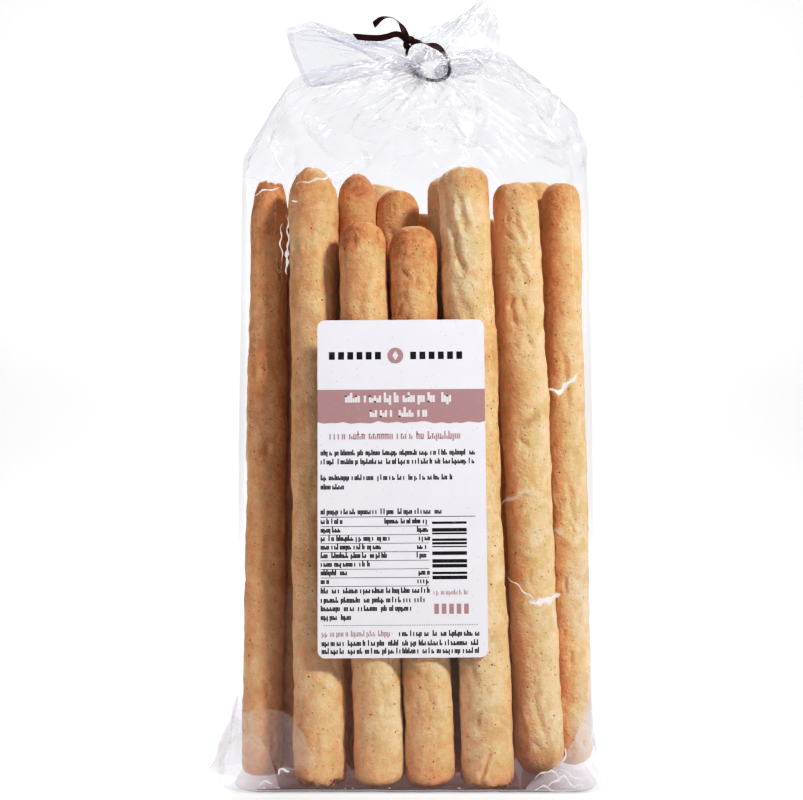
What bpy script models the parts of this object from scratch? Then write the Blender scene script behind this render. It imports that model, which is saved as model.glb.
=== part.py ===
"""A pack of thick grissini: a clear gusseted bag that stands on its flat base, full of upright breadsticks,
with a paper label on its front and a ribbon round its gathered neck.

Metres, +Z up, the front faces -Y. The origin is on the underside of the base, in the middle of the body.
"""

import math

import bmesh
import bpy
from mathutils import Matrix, Vector

MM = 0.001

# Body of the bag, which the standing sticks fill.
BODY_WIDTH = 124 * MM
BODY_DEPTH = 50 * MM
BODY_HEIGHT = 211 * MM
BODY_CORNER = 9 * MM
BASE_EDGE = 1.5 * MM
RING_POINTS = 96

# The side gussets open into a pointed fold at each end of the base.
EAR_HEIGHT = 31 * MM
LEFT_EAR = 13.5 * MM
RIGHT_EAR = 4.5 * MM
EAR_TIP_Y = 6 * MM
EAR_STEPS = 6

# Above the sticks the bag narrows to a gathered neck, which leans back.
NECK_FOOT = Vector((5.7, 2.8, 258.2)) * MM
NECK_LEAN = math.radians(50)
NECK_RADIUS = 7.5 * MM
NECK_LENGTH = 7.0 * MM
# Each shoulder station is (height, left, right, half depth, middle of the depth, corner radius, lean).
SHOULDERS = [
    (211, -62.0, 62.0, 25.0, 0.0, 9.0, 0),
    (217, -61.6, 61.8, 24.5, 0.0, 10.0, 2),
    (223, -59.2, 60.4, 23.0, 0.0, 11.0, 5),
    (230, -55.5, 58.2, 20.5, 0.0, 12.0, 10),
    (237, -51.5, 53.6, 17.5, 0.0, 12.0, 17),
    (244, -46.8, 47.3, 14.5, 0.3, 11.0, 25),
    (249, -38.0, 42.4, 12.0, 0.8, 10.5, 32),
    (253, -24.0, 37.0, 10.5, 1.4, 9.5, 39),
    (256, -9.0, 26.0, 9.0, 2.0, 8.5, 45),
]

# Beyond the ribbon the mouth of the bag fans out behind the neck into a left and a right wing.
# Each point is (across, height, middle of the depth), from the foot of the right wing to that of the left.
WINGS = [
    (17.0, 259.5, 16.5),
    (24.0, 262.5, 18.5),
    (31.4, 268.5, 19.5),
    (34.0, 275.5, 19.0),
    (33.0, 284.0, 17.0),
    (27.7, 290.0, 16.5),
    (18.5, 284.0, 16.0),
    (7.0, 279.3, 15.0),
    (-3.0, 274.3, 14.0),
    (-20.0, 273.5, 14.5),
    (-30.0, 275.2, 15.5),
    (-40.0, 280.8, 16.5),
    (-49.6, 277.8, 17.0),
    (-47.5, 269.5, 18.5),
    (-41.7, 256.0, 19.5),
    (-28.5, 256.5, 19.0),
    (-14.4, 257.8, 17.5),
    (-4.5, 259.5, 16.5),
]
WING_HALF_THICKNESS = 2.2 * MM
WING_PLEAT = 1.0 * MM
WING_PLEATS = 9
WING_ROOT = 2.0 * MM

# Paper label on the front.
LABEL_WIDTH = 57 * MM
LABEL_HEIGHT = 114 * MM
LABEL_CORNER = 2.5 * MM
LABEL_THICKNESS = 0.3 * MM
LABEL_MIDDLE = Vector((-4.8, 0, 101.5)) * MM
LABEL_TURN = math.radians(-0.4)
SEAT_GAP = 0.3 * MM

# Ribbon round the neck, knotted at its upper left with two loose tails.
RIBBON_WIDTH = 2.6 * MM
RIBBON_THICKNESS = 0.6 * MM
RIBBON_GAP = 0.4 * MM
LOOP_POINTS = RING_POINTS // 2
KNOT_ANGLE = math.radians(226)
KNOT_SIZE = Vector((2.0, 1.7, 2.3)) * MM
# Routes of the tails from the knot, as offsets from it: across, back, up.
LONG_TAIL = [
    (0, 0, 0),
    (-3.4, -1.6, 3.6),
    (-6.4, -2.0, 3.4),
    (-10.2, -2.0, 2.2),
    (-16.0, -1.8, 2.4),
    (-21.6, -1.6, 3.0),
]
CURLED_TAIL = [
    (0, 0, 0),
    (-2.4, -0.8, 3.8),
    (-3.6, -0.6, 6.8),
    (-5.6, -0.2, 9.2),
    (-8.4, 0.0, 10.4),
    (-11.4, -0.2, 10.0),
    (-14.6, -0.6, 7.8),
]
TAIL_SPANS = 6


def clear_scene():
    for obj in list(bpy.data.objects):
        bpy.data.objects.remove(obj)


def material(name, colour, roughness, alpha=1.0):
    made = bpy.data.materials.new(name)
    made.use_nodes = True
    shader = made.node_tree.nodes["Principled BSDF"]
    shader.inputs["Base Color"].default_value = (*colour, 1.0)
    shader.inputs["Roughness"].default_value = roughness
    shader.inputs["Alpha"].default_value = alpha
    return made


def add_object(name, mesh_points, faces, finish):
    """One named object from points and faces, with its normals facing out."""
    mesh = bpy.data.meshes.new(name)
    mesh.from_pydata([tuple(p) for p in mesh_points], [], faces)
    work = bmesh.new()
    work.from_mesh(mesh)
    bmesh.ops.remove_doubles(work, verts=work.verts, dist=1e-7)
    bmesh.ops.recalc_face_normals(work, faces=work.faces)
    work.to_mesh(mesh)
    work.free()
    mesh.materials.append(finish)
    obj = bpy.data.objects.new(name, mesh)
    bpy.context.scene.collection.objects.link(obj)
    return obj


def as_helper(obj):
    """Marks a shape that a Boolean uses, so that it isn't a piece itself."""
    obj.hide_render = True
    obj.display_type = "WIRE"
    return obj


def join(obj, helper):
    union = obj.modifiers.new(helper.name, "BOOLEAN")
    union.operation = "UNION"
    union.object = helper


def smooth_route(points, spans):
    """A smooth line through the points, with this many steps between each two."""
    route = [Vector(p) for p in points]
    ends = [2 * route[0] - route[1]] + route + [2 * route[-1] - route[-2]]
    made = []
    for i in range(1, len(ends) - 2):
        before, start, end, after = ends[i - 1 : i + 3]
        for step in range(spans):
            t = step / spans
            made.append(
                0.5
                * (
                    2 * start
                    + (end - before) * t
                    + (2 * before - 5 * start + 4 * end - after) * t**2
                    + (3 * start - before - 3 * end + after) * t**3
                )
            )
    made.append(route[-1])
    return made


def rounded_ring(left, right, half_depth, corner, height):
    """Evenly spaced points round a rounded rectangle, from its right side by way of the back."""
    half_width = (right - left) / 2
    centre = (right + left) / 2
    straight_x = half_width - corner
    straight_y = half_depth - corner
    quarter = math.pi / 2 * corner
    half_round = 2 * (straight_x + straight_y + quarter)
    first_bend = straight_y
    back = first_bend + quarter
    second_bend = back + 2 * straight_x
    far_side = second_bend + quarter
    points = []
    for i in range(RING_POINTS):
        along = 2 * half_round * i / RING_POINTS
        sign = 1 if along < half_round else -1
        along %= half_round
        if along < first_bend:
            x, y = half_width, along
        elif along < back:
            turn = (along - first_bend) / corner
            x, y = straight_x + corner * math.cos(turn), straight_y + corner * math.sin(turn)
        elif along < second_bend:
            x, y = straight_x - (along - back), half_depth
        elif along < far_side:
            turn = (along - second_bend) / corner
            x, y = -straight_x - corner * math.sin(turn), straight_y + corner * math.cos(turn)
        else:
            x, y = -half_width, straight_y - (along - far_side)
        points.append(Vector((centre + sign * x, sign * y, height)))
    return points


def body_ring(height, inset=0.0):
    """A ring of the body, with the gusset folds that stand out near the base."""
    half_width = BODY_WIDTH / 2 - inset
    ring = rounded_ring(-half_width, half_width, BODY_DEPTH / 2 - inset, BODY_CORNER, height)
    rise = max(0.0, 1 - height / EAR_HEIGHT)
    for point in ring:
        nearness = max(0.0, 1 - abs(point.y - EAR_TIP_Y) / (BODY_DEPTH / 2))
        reach = LEFT_EAR if point.x < 0 else RIGHT_EAR
        side = min(1.0, max(0.0, (abs(point.x) - BODY_WIDTH / 2 + BODY_CORNER) / BODY_CORNER))
        point.x += math.copysign(reach * rise**1.4 * nearness * side, point.x)
    return ring


def neck_point(along, radius, turn):
    """A point round the leaning neck; turn starts on the right and goes by way of the back."""
    across = Vector((1, 0, 0))
    back = Vector((0, math.cos(NECK_LEAN), -math.sin(NECK_LEAN)))
    axis = Vector((0, math.sin(NECK_LEAN), math.cos(NECK_LEAN)))
    return NECK_FOOT + axis * along + radius * (across * math.cos(turn) + back * math.sin(turn))


def neck_ring(along, radius, count=RING_POINTS):
    return [neck_point(along, radius, 2 * math.pi * i / count) for i in range(count)]


def loft_sides(ring_count, count):
    """Faces between rings that have the same number of points."""
    faces = []
    for k in range(ring_count - 1):
        for i in range(count):
            here = k * count + i
            beside = k * count + (i + 1) % count
            faces.append((here, beside, beside + count, here + count))
    return faces


def loft(rings):
    """Points and faces of a shape that runs from ring to ring, closed at both ends."""
    count = len(rings[0])
    points = [p for ring in rings for p in ring]
    faces = loft_sides(len(rings), count)
    last = (len(rings) - 1) * count
    faces.append(tuple(reversed(range(count))))
    faces.append(tuple(range(last, last + count)))
    return points, faces


def build_wings(finish):
    """The fanned mouth above the ribbon, pleated from the neck out, as a thin closed shape."""
    half = RING_POINTS // 2
    edge = smooth_route([Vector((x, y, z)) * MM for x, z, y in WINGS], 12)
    rim = [edge[round(i / half * (len(edge) - 1))] for i in range(half + 1)]
    ring = []
    for i in range(RING_POINTS):
        back = i <= half
        step = i if back else RING_POINTS - i
        spread = math.sin(math.pi * step / half) ** 0.5
        pleat = WING_PLEAT * math.sin(2 * math.pi * WING_PLEATS * step / half)
        offset = WING_HALF_THICKNESS * spread + pleat * spread
        ring.append(rim[step] + Vector((0, offset if back else -offset, 0)))
    foot = neck_ring(NECK_LENGTH - WING_ROOT, NECK_RADIUS - SEAT_GAP)
    top = neck_ring(NECK_LENGTH, NECK_RADIUS)
    middle = [a.lerp(b, 0.5) for a, b in zip(top, ring)]
    rings = [foot, top, middle, ring]
    points, faces = loft(rings)
    # The thin edge is closed by a strip between its back and its front, in place of one long face.
    faces.pop()
    last = (len(rings) - 1) * RING_POINTS
    for step in range(half):
        front_here = (RING_POINTS - step) % RING_POINTS
        front_next = RING_POINTS - step - 1
        corners = dict.fromkeys([step, step + 1, front_next, front_here])
        faces.append(tuple(last + corner for corner in corners))
    return as_helper(add_object("wings", points, faces, finish))


def build_bag(finish):
    """Body, shoulders and neck in one loft, joined with the fanned mouth."""
    ear_heights = [EAR_HEIGHT * step / EAR_STEPS for step in range(1, EAR_STEPS + 1)]
    rings = [body_ring(0.0, BASE_EDGE), body_ring(BASE_EDGE)]
    rings += [body_ring(height) for height in ear_heights]
    for height, left, right, half_depth, middle, corner, lean in SHOULDERS:
        ring = rounded_ring(left * MM, right * MM, half_depth * MM, corner * MM, 0.0)
        turn = Matrix.Rotation(-math.radians(lean), 3, "X")
        shift = Vector((0, middle, height)) * MM
        rings.append([turn @ point + shift for point in ring])
    rings.append(neck_ring(0.0, NECK_RADIUS))
    rings.append(neck_ring(NECK_LENGTH - WING_ROOT / 2, NECK_RADIUS))
    points, faces = loft(rings)
    bag = add_object("bag", points, faces, finish)
    join(bag, build_wings(finish))
    return bag


def build_label(finish):
    """A thin sheet with rounded corners, flat on the front of the bag."""
    outline = []
    corner_steps = 6
    for corner in range(4):
        sign_x = 1 if corner in (0, 3) else -1
        sign_z = 1 if corner < 2 else -1
        for step in range(corner_steps + 1):
            turn = math.pi / 2 * (corner + step / corner_steps)
            outline.append(
                Vector(
                    (
                        sign_x * (LABEL_WIDTH / 2 - LABEL_CORNER) + LABEL_CORNER * math.cos(turn),
                        0,
                        sign_z * (LABEL_HEIGHT / 2 - LABEL_CORNER) + LABEL_CORNER * math.sin(turn),
                    )
                )
            )
    front = [p - Vector((0, LABEL_THICKNESS, 0)) for p in outline]
    points, faces = loft([outline, front])
    label = add_object("label", points, faces, finish)
    label.location = LABEL_MIDDLE + Vector((0, -BODY_DEPTH / 2 - SEAT_GAP, 0))
    label.rotation_euler = (0, LABEL_TURN, 0)
    return label


def build_tail(name, offsets, knot, finish):
    """A flat strip along its route, cut on the slant at its end."""
    route = smooth_route([knot + Vector(o) * MM for o in offsets], TAIL_SPANS)
    rings = []
    for i, point in enumerate(route):
        ahead = route[min(i + 1, len(route) - 1)] - route[max(i - 1, 0)]
        tangent = ahead.normalized()
        through = Vector((0.15, -1, 0.1)).normalized()
        side = tangent.cross(through).normalized() * RIBBON_WIDTH / 2
        through = side.cross(tangent).normalized() * RIBBON_THICKNESS / 2
        slant = tangent * RIBBON_WIDTH * 0.4 if i == len(route) - 1 else Vector()
        rings.append(
            [
                point + side + through + slant,
                point - side + through - slant,
                point - side - through - slant,
                point + side - through + slant,
            ]
        )
    points, faces = loft(rings)
    return as_helper(add_object(name, points, faces, finish))


def build_tie(finish):
    """The band round the neck, with its knot and tails joined on."""
    middle = NECK_LENGTH / 2
    inner = NECK_RADIUS + RIBBON_GAP
    outer = inner + RIBBON_THICKNESS
    low = middle - RIBBON_WIDTH / 2
    high = middle + RIBBON_WIDTH / 2
    corners = [(low, inner), (low, outer), (high, outer), (high, inner), (low, inner)]
    points = [p for along, radius in corners for p in neck_ring(along, radius, LOOP_POINTS)]
    faces = loft_sides(len(corners), LOOP_POINTS)
    tie = add_object("tie", points, faces, finish)

    knot_at = neck_point(middle, outer + KNOT_SIZE.y * 0.75, KNOT_ANGLE)
    work = bmesh.new()
    bmesh.ops.create_icosphere(work, subdivisions=2, radius=1.0)
    work.transform(Matrix.Translation(knot_at) @ Matrix.Diagonal((*KNOT_SIZE, 1.0)))
    work.verts.ensure_lookup_table()
    points = [v.co for v in work.verts]
    faces = [[v.index for v in face.verts] for face in work.faces]
    join(tie, as_helper(add_object("knot", points, faces, finish)))
    work.free()
    join(tie, build_tail("long_tail", LONG_TAIL, knot_at, finish))
    join(tie, build_tail("curled_tail", CURLED_TAIL, knot_at, finish))
    return tie


def shade(obj):
    obj.data.shade_smooth()
    obj.data.set_sharp_from_angle(angle=math.radians(35))


clear_scene()
film = material("film", (0.86, 0.72, 0.54), 0.15, 0.6)
paper = material("label_paper", (0.86, 0.84, 0.87), 0.6)
ribbon = material("tie_ribbon", (0.035, 0.01, 0.008), 0.4)
shade(build_bag(film))
shade(build_label(paper))
shade(build_tie(ribbon))
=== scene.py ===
"""Looks of a clear bag of thick breadsticks, which stands on its flat base, closed with a ribbon.

Metres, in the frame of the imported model: +Z up, the front with the label faces -Y.
"""

import itertools
import math

import bmesh
import bpy
import numpy as np
from mathutils import Matrix, Vector


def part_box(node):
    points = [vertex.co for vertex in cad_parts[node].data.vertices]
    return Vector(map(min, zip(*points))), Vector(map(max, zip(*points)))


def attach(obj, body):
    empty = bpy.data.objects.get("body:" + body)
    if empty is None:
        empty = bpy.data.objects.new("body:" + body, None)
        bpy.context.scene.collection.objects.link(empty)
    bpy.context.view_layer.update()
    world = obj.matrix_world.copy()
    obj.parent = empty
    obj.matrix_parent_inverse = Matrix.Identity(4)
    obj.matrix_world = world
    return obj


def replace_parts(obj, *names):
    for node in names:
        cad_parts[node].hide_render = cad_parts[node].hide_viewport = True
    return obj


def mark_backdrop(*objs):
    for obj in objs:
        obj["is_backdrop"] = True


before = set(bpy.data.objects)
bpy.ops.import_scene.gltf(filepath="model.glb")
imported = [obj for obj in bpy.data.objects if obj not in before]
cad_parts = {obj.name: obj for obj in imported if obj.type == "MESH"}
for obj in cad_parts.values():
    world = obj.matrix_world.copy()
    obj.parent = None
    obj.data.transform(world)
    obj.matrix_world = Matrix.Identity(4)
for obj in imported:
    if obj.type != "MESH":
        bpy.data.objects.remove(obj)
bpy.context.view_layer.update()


# ------------------------------------------------
# Breadsticks. Thick rods of oiled dough, rolled and stretched by hand, so each has its own girth, its slow
# bends and a few twisted creases. They are baked until dry: matte crust, browner at the ends, and a pale
# crumb where a rod was trimmed or broke. They stand on their feet in three loose rows and lean a little.
# ------------------------------------------------

MM = 0.001
BAG_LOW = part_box("bag")[0]
FRONT = BAG_LOW.y
AROUND = 76
RING_STEP = 0.9 * MM

# How an end is shaped: how far it rounds over and how squarely, the share of the girth that is a flat face
# of bare crumb, and how rough that face is. Lengths are shares of the rod's radius.
ROUND = {"reach": 1.05, "power": 2.3, "flat": 0.0, "rough": 0.0}
BLUNT = {"reach": 0.6, "power": 2.5, "flat": 0.3, "rough": 0.03}
SLIM = {"reach": 2.8, "power": 2.2, "flat": 0.5, "rough": 0.3}
SLOPED = {"reach": 1.5, "power": 1.9, "flat": 0.25, "rough": 0.3}
NECKED = {"reach": 1.45, "power": 1.75, "flat": 0.14, "rough": 0.14}
TRIMMED = {"reach": 0.55, "power": 1.7, "flat": 0.6, "rough": 0.06}
BROKEN = {"reach": 0.5, "power": 2.0, "flat": 0.7, "rough": 0.3}

# Each rod: foot and top as (across, behind the bag's front, up), radius, both ends, and how brown it is at
# the foot and at the top, and how much darker its left side is painted. The step from foot to top is real
# browning towards the top and partly painted light: paler feet for the light that the floor throws up, and a
# darker top on rod_left for the shade of rod_front_1. The darker left side is painted shade where a neighbour
# shades it; on rod_front_4 it is negative, a browner crust to its right.
RODS = {
    "rod_left": ((-53.8, 22.0, 0.9), (-54.3, 31.5, 215.0), 7.1, BLUNT, SLIM, (0.54, 0.66, 0.00)),
    "rod_front_1": ((-32.2, 10.6, 0.7), (-37.4, 18.5, 216.6), 8.85, BROKEN, SLOPED, (0.40, 0.50, 0.05)),
    "rod_front_2": ((-12.3, 9.0, 0.7), (-19.0, 8.7, 194.6), 8.4, BLUNT, ROUND, (0.38, 0.60, 0.08)),
    "rod_front_3": ((5.1, 8.9, 0.7), (-1.2, 8.6, 193.4), 8.25, BLUNT, ROUND, (0.40, 0.66, 0.04)),
    "rod_front_4": ((24.6, 9.3, 0.7), (16.7, 9.1, 213.4), 8.85, BROKEN, TRIMMED, (0.30, 0.38, -0.18)),
    "rod_front_5": ((43.6, 19.0, 1.8), (36.0, 17.5, 210.4), 8.4, ROUND, TRIMMED, (0.32, 0.42, 0.04)),
    "rod_right": ((56.2, 29.0, 2.8), (53.8, 27.0, 213.9), 7.4, ROUND, ROUND, (0.42, 0.50, 0.14)),
    "rod_middle_1": ((-44.4, 32.5, 0.8), (-41.4, 36.0, 203.0), 6.8, BLUNT, ROUND, (0.50, 0.50, 0.0)),
    "rod_middle_2": ((-17.5, 25.5, 0.7), (-21.4, 24.1, 216.8), 7.2, ROUND, NECKED, (0.62, 0.62, 0.0)),
    "rod_middle_3": ((-1.8, 27.2, 0.7), (-6.4, 26.5, 211.0), 8.0, BLUNT, ROUND, (0.62, 0.62, 0.0)),
    "rod_middle_4": ((15.5, 26.0, 0.7), (11.9, 25.1, 214.8), 7.5, ROUND, TRIMMED, (0.34, 0.34, 0.0)),
    "rod_back_1": ((-26.0, 41.6, 0.7), (-28.7, 41.8, 209.0), 7.3, ROUND, BLUNT, (0.55, 0.55, 0.0)),
    "rod_back_2": ((-9.5, 42.3, 0.7), (-13.5, 42.3, 217.0), 7.2, BLUNT, TRIMMED, (0.22, 0.22, 0.0)),
    "rod_back_3": ((8.0, 41.8, 0.7), (3.7, 42.0, 206.0), 7.5, BROKEN, ROUND, (0.50, 0.50, 0.0)),
    "rod_back_4": ((31.0, 37.0, 0.7), (27.0, 37.0, 203.0), 7.7, ROUND, ROUND, (0.45, 0.45, 0.0)),
    "rod_back_5": ((46.5, 41.2, 0.7), (45.7, 40.8, 217.6), 7.9, BLUNT, TRIMMED, (0.30, 0.30, 0.0)),
}

# Creases that the stretching left, as (height, turn) at both ends, depth and width. A turn of 0 is the
# front of the rod, and it grows to the right, in degrees.
CREASES = {
    "rod_front_4": [
        ((207, -62), (172, -8), 0.85, 1.5),
        ((203, -20), (188, -4), 0.7, 1.3),
        ((176, -30), (150, 0), 0.45, 1.6),
        ((60, -45), (34, -25), 0.6, 1.4),
        ((14, 4), (3, -26), 0.9, 0.7),
    ],
    "rod_front_5": [
        ((200, -14), (186, 14), 0.55, 1.1),
        ((184, -12), (170, 16), 0.5, 1.2),
        ((168, -30), (158, -18), 0.5, 1.0),
        ((120, -5), (90, 10), 0.3, 1.8),
    ],
    "rod_front_1": [((150, -40), (90, -20), 0.3, 2.0), ((52, 25), (36, 48), 0.35, 1.2)],
    "rod_front_2": [((176, 5), (158, -14), 0.35, 1.4), ((38, 8), (26, 22), 0.3, 0.8)],
    "rod_front_3": [((170, -25), (150, -5), 0.35, 1.3), ((44, -8), (24, 12), 0.3, 1.2)],
    "rod_right": [((150, -10), (128, 6), 0.5, 1.1), ((104, -5), (86, 20), 0.55, 1.2)],
    "rod_middle_3": [((196, -20), (178, 10), 0.5, 1.3)],
}
OWN_CREASES = 4
OWN_DIMPLES = 60

rng = np.random.default_rng(7)
LATTICE = rng.permutation(256)
SLOPES = rng.normal(size=(256, 3))
SLOPES /= np.linalg.norm(SLOPES, axis=1, keepdims=True)


def ripple(points, size):
    """Smooth random heights, mostly between -1 and 1, whose bumps are about this size."""
    scaled = np.asarray(points) / size
    cell = np.floor(scaled).astype(int)
    part = scaled - cell
    fade = part**3 * (part * (part * 6 - 15) + 10)
    total = np.zeros(scaled.shape[:-1])
    for corner in itertools.product((0, 1), repeat=3):
        at = (cell + corner) & 255
        pick = LATTICE[(LATTICE[(LATTICE[at[..., 0]] + at[..., 1]) & 255] + at[..., 2]) & 255]
        slope = ((part - corner) * SLOPES[pick]).sum(-1)
        total += slope * np.where(corner, fade, 1 - fade).prod(-1)
    return total * 1.5


def smooth_step(value, low, high):
    share = np.clip((value - low) / (high - low), 0, 1)
    return share * share * (3 - 2 * share)


def unit(vectors):
    return vectors / np.linalg.norm(vectors, axis=-1, keepdims=True)


def mesh_object(name, points, faces, finish, fields=None):
    """A smooth shaded mesh object, with named values at its points that its finish can read."""
    mesh = bpy.data.meshes.new(name)
    mesh.from_pydata(np.asarray(points).tolist(), [], faces)
    mesh.shade_smooth()
    for field, values in (fields or {}).items():
        mesh.attributes.new(field, "FLOAT", "POINT").data.foreach_set("value", np.float32(values))
    mesh.materials.append(finish)
    made = bpy.data.objects.new(name, mesh)
    bpy.context.scene.collection.objects.link(made)
    return made


def ring_faces(rings, around, closed=True):
    """Faces between rings of points, as lists of point numbers."""
    low = np.arange(rings - 1)[:, None] * around
    here = np.arange(around if closed else around - 1)[None, :]
    beside = (here + 1) % around
    quads = np.stack([low + here, low + beside, low + beside + around, low + here + around], axis=-1)
    return quads.reshape(-1, 4).tolist()


class Wire:
    """A value or colour on its way through a finish. Sums and products of wires add Math nodes."""

    def __init__(self, finish, socket):
        self.finish = finish
        self.socket = socket

    def math(self, operation, first, second):
        return self.finish.node("ShaderNodeMath", {"operation": operation}, {0: first, 1: second})

    def __add__(self, other):
        return self.math("ADD", self, other)

    def __sub__(self, other):
        return self.math("SUBTRACT", self, other)

    def __rsub__(self, other):
        return self.math("SUBTRACT", other, self)

    def __mul__(self, other):
        return self.math("MULTIPLY", self, other)

    def __lt__(self, other):
        return self.math("LESS_THAN", self, other)

    __radd__ = __add__
    __rmul__ = __mul__


class Finish:
    """A material, and the one way its nodes are made."""

    def __init__(self, name):
        self.material = bpy.data.materials.new(name)
        self.material.use_nodes = True
        self.material.node_tree.nodes.clear()

    def node(self, kind, settings=None, values=None, output=0):
        tree = self.material.node_tree
        made = tree.nodes.new(kind)
        for name, value in (settings or {}).items():
            if name == "stops":
                ramp = made.color_ramp
                while len(ramp.elements) < len(value):
                    ramp.elements.new(1.0)
                for element, (position, tint) in zip(ramp.elements, value):
                    element.position = position
                    element.color = tint
            else:
                setattr(made, name, value)
        for name, value in (values or {}).items():
            if isinstance(value, Wire):
                tree.links.new(value.socket, made.inputs[name])
            else:
                made.inputs[name].default_value = value
        return Wire(self, made.outputs[output])

    def mix(self, share, first, second):
        """Colours go from first to second as the share goes from 0 to 1."""
        return self.node("ShaderNodeMix", {"data_type": "RGBA"}, {0: share, 6: first, 7: second}, output=2)

    def blend(self, share, first, second):
        """Shaders go from first to second as the share goes from 0 to 1."""
        return self.node("ShaderNodeMixShader", {}, {0: share, 1: first, 2: second})

    def place(self):
        return self.node("ShaderNodeTexCoord", output="Object")

    def field(self, name):
        """Values that the mesh carries at its points."""
        return self.node("ShaderNodeAttribute", {"attribute_name": name}, output="Fac")

    def ramp(self, value, low, high, top=1.0):
        """0 at low, this top at high, straight between."""
        return self.node("ShaderNodeMapRange", {}, {0: value, 1: low, 2: high, 3: 0.0, 4: top})

    def bump(self, strength, distance, height):
        values = {"Strength": strength, "Distance": distance, "Height": height}
        return self.node("ShaderNodeBump", {}, values)

    def clear(self, red, green, blue):
        return self.node("ShaderNodeBsdfTransparent", {}, {"Color": (red, green, blue, 1)})

    def grain(self, place, size, detail=2.0):
        """Soft noise from 0 to 1 whose spots are about this size."""
        values = {"Vector": place, "Scale": 1 / size, "Detail": detail}
        return self.node("ShaderNodeTexNoise", {}, values, output="Fac")

    def spots(self, place, size, reach, share):
        """Small dots, 1 in their middle, in this share of cells of this size."""
        values = {"Vector": place, "Scale": 1 / size}
        away = self.node("ShaderNodeTexVoronoi", {}, values, output="Distance")
        tint = self.node("ShaderNodeTexVoronoi", {}, values, output="Color")
        pick = self.node("ShaderNodeSeparateColor", {}, {0: tint})
        near = self.ramp(away, reach, reach * 0.4)
        return near * (pick < share)

    def rise(self, value, low, high):
        """0 below low, 1 above high, smooth between."""
        settings = {"interpolation_type": "SMOOTHSTEP"}
        return self.node("ShaderNodeMapRange", settings, {0: value, 1: low, 2: high, 3: 0.0, 4: 1.0})

    def surface(self, shader):
        tree = self.material.node_tree
        output = tree.nodes.new("ShaderNodeOutputMaterial")
        tree.links.new(shader.socket, output.inputs["Surface"])
        return self.material

    def solid(self, values):
        return self.surface(self.node("ShaderNodeBsdfPrincipled", {}, values))


def colour(red, green, blue):
    """A colour from the 0 to 255 steps of a paint chart, as the linear values that shaders take."""
    steps = [step / 255 for step in (red, green, blue)]
    return (*[s / 12.92 if s <= 0.04045 else ((s + 0.055) / 1.055) ** 2.4 for s in steps], 1.0)


def moved(finish, place, by):
    """The same place read somewhere else, so that two patterns don't coincide."""
    return finish.node("ShaderNodeVectorMath", {"operation": "ADD"}, {0: place, 1: (by, by * 0.7, by * 1.3)})


def crust_finish():
    crust = Finish("baked_crust")
    place = crust.place()
    baked = crust.field("baked")
    groove = crust.field("groove")
    crumb = crust.field("crumb")

    cloud = crust.grain(place, 9 * MM, 3.0)
    mottle = crust.grain(place, 2.4 * MM, 3.0)
    fine = crust.grain(place, 0.6 * MM, 2.0)
    olive = crust.grain(moved(crust, place, 3.1), 6 * MM, 2.0)
    rosy = crust.grain(moved(crust, place, 5.7), 4 * MM, 2.0)
    pits = crust.spots(place, 4.2 * MM, 0.095, 0.42)
    pores = crust.spots(moved(crust, place, 1.3), 1.7 * MM, 0.2, 0.45)
    flour = crust.spots(moved(crust, place, 2.2), 1.3 * MM, 0.2, 0.2)

    # Through groove, crease valleys are painted darker and their lips paler: painted shade and light.
    depth = baked + (cloud - 0.5) * 0.50 + (mottle - 0.5) * 0.46 + (fine - 0.5) * 0.22 + groove * 0.16
    stops = [
        (0.00, colour(246, 224, 190)),
        (0.28, colour(238, 204, 162)),
        (0.55, colour(230, 180, 132)),
        (0.80, colour(212, 148, 97)),
        (1.00, colour(176, 107, 64)),
    ]
    skin = crust.node("ShaderNodeValToRGB", {"stops": stops}, {0: depth})
    skin = crust.mix(crust.rise(olive, 0.50, 0.66) * 0.42, skin, colour(206, 172, 112))
    skin = crust.mix(crust.rise(rosy, 0.52, 0.70) * 0.38, skin, colour(236, 166, 122))
    skin = crust.mix(flour * 0.35, skin, colour(250, 230, 196))
    specks = crust.spots(moved(crust, place, 6.6), 0.8 * MM, 0.2, 0.4)
    skin = crust.mix(specks * 0.30, skin, colour(150, 98, 48))
    # Pits and pores are painted dark where the bump also presses them in, and bare crumb is painted darker in
    # its holes: painted shade in small hollows.
    skin = crust.mix(pores * 0.55, skin, colour(136, 82, 38))
    skin = crust.mix(pits * 0.80, skin, colour(104, 56, 26))
    holes = crust.grain(place, 0.9 * MM, 3.0)
    open_crumb = crust.mix(holes, colour(222, 180, 126), colour(252, 236, 198))
    skin = crust.mix(crumb, skin, open_crumb)

    dimples = crust.grain(moved(crust, place, 4.4), 1.1 * MM, 2.0)
    height = mottle * 1.3 + dimples * 0.9 + fine * 0.4 - pits * 1.4 - pores * 0.7 + holes * crumb * 1.2
    normal = crust.bump(1.0, 0.32 * MM, height)
    gloss = 0.60 + (fine - 0.5) * 0.3
    values = {"Base Color": skin, "Roughness": gloss, "Normal": normal, "Specular IOR Level": 0.28}
    values |= {"Subsurface Weight": 0.06, "Subsurface Scale": 1.2 * MM, "Subsurface Radius": (1.0, 0.45, 0.2)}
    return crust.solid(values)


def end_rings(shape, radius):
    """Distances from the tip, widths and shares of bare crumb of the rings that close one end."""
    rings = []
    if shape["flat"] > 0:
        rings += [(0.0, shape["flat"] * width, 1.0) for width in (0.2, 0.4, 0.6, 0.8, 0.93)]
    reach = shape["reach"] * radius
    steps = 10
    for step in range(0 if shape["flat"] > 0 else 1, steps + 1):
        along = 1 - math.cos(math.pi / 2 * step / steps)
        bend = (1 - (1 - along) ** shape["power"]) ** (1 / shape["power"])
        width = shape["flat"] + (1 - shape["flat"]) * bend
        rings.append((along * reach, width, 0.6 if step == 0 else 0.0))
    return rings


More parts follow.
